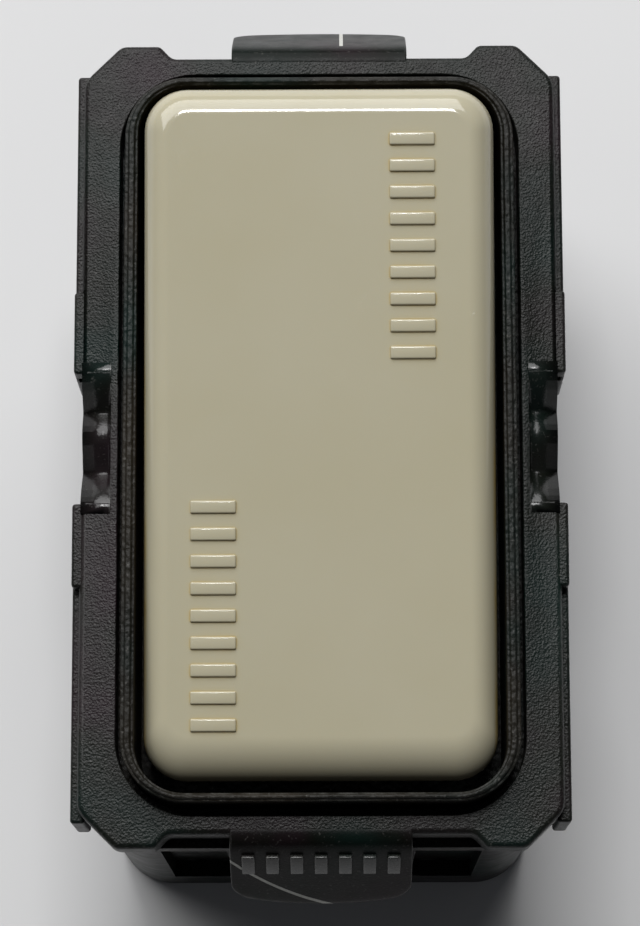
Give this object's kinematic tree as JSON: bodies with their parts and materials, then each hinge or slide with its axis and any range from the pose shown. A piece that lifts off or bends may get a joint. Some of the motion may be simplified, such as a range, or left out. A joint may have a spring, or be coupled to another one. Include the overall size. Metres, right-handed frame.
{
  "type": "rocker wall switch",
  "caption": "One-module flush rocker wall switch: ivory rocker in a black collar and snap-in frame, with a sprung see-saw contact and rear wired screw terminals.",
  "frame": {"origin": "centre of the flat rear face", "axes": "+Z out of the front of the switch, +Y along its length towards the end of the rocker that stands up at rest, +X across its width"},
  "size_m": [0.024, 0.0444, 0.0281],
  "materials": {
    "black_frame": "satin, fine crinkle texture",
    "black_collar": "semi-gloss with worn edges",
    "black_housing": "semi-gloss",
    "rivet_steel": "satin",
    "ivory_cap": "gloss",
    "nylon": "satin",
    "axle_steel": "ground",
    "spring_steel": "drawn wire",
    "brass": "stamped",
    "silver_contact": "satin silver alloy",
    "plated_steel": "zinc plated",
    "fibre": "matt"
  },
  "bodies": {
    "housing": {"front_frame": "black_frame", "rocker_well": "black_collar", "rear_housing": "black_housing", "assembly_rivets": "rivet_steel", "rocker_axle": "axle_steel", "fixed_contact": "silver_contact", "common_terminal": "brass", "line_terminal": "brass", "common_cage": "brass", "line_cage": "brass", "arc_barrier": "fibre"},
    "rocker": {"rocker_cap": "ivory_cap", "rocker_yoke": "nylon", "plunger_spring": "spring_steel"},
    "plunger": {"plunger": "nylon"},
    "lever": {"contact_lever": "brass", "moving_contact": "silver_contact"},
    "common_clamp": {"common_clamp_plate": "plated_steel"},
    "common_screw": {"common_screw": "plated_steel"},
    "line_clamp": {"line_clamp_plate": "plated_steel"},
    "line_screw": {"line_screw": "plated_steel"}
  },
  "joints": [
    {"name": "rocker_tilt", "type": "hinge", "parent": "housing", "child": "rocker", "pos_m": [0, 0, 0.0234], "axis": [-1, 0, 0], "range_deg": [0, 11.5]},
    {"name": "lever_tilt", "type": "hinge", "parent": "housing", "child": "lever", "pos_m": [0, 0, 0.0098], "axis": [1, 0, 0], "range_deg": [0, 20]},
    {"name": "plunger_slide", "type": "slide", "parent": "rocker", "child": "plunger", "axis": [0, -0.1002, 0.995], "range_m": [0, 0.0008], "stiffness_N_per_m": 500, "springref_m": -0.002, "deforming": ["plunger_spring"]},
    {"name": "common_clamp_slide", "type": "slide", "parent": "housing", "child": "common_clamp", "axis": [-1, 0, 0], "range_m": [0, 0.0021]},
    {"name": "common_screw_turn", "type": "hinge", "parent": "common_clamp", "child": "common_screw", "pos_m": [0, 0.0139, 0.0051], "axis": [-1, 0, 0], "range_deg": [0, 1080]},
    {"name": "line_clamp_slide", "type": "slide", "parent": "housing", "child": "line_clamp", "axis": [1, 0, 0], "range_m": [0, 0.0021]},
    {"name": "line_screw_turn", "type": "hinge", "parent": "line_clamp", "child": "line_screw", "pos_m": [0, -0.0139, 0.0051], "axis": [1, 0, 0], "range_deg": [0, 1080]}
  ],
  "couplings": [
    {"joint": "lever_tilt", "follows": "rocker_tilt", "ratio": 1.7391},
    {"joint": "common_screw_turn", "follows": "common_clamp_slide", "rad_per_m": 8976},
    {"joint": "line_screw_turn", "follows": "line_clamp_slide", "rad_per_m": 8976}
  ]
}
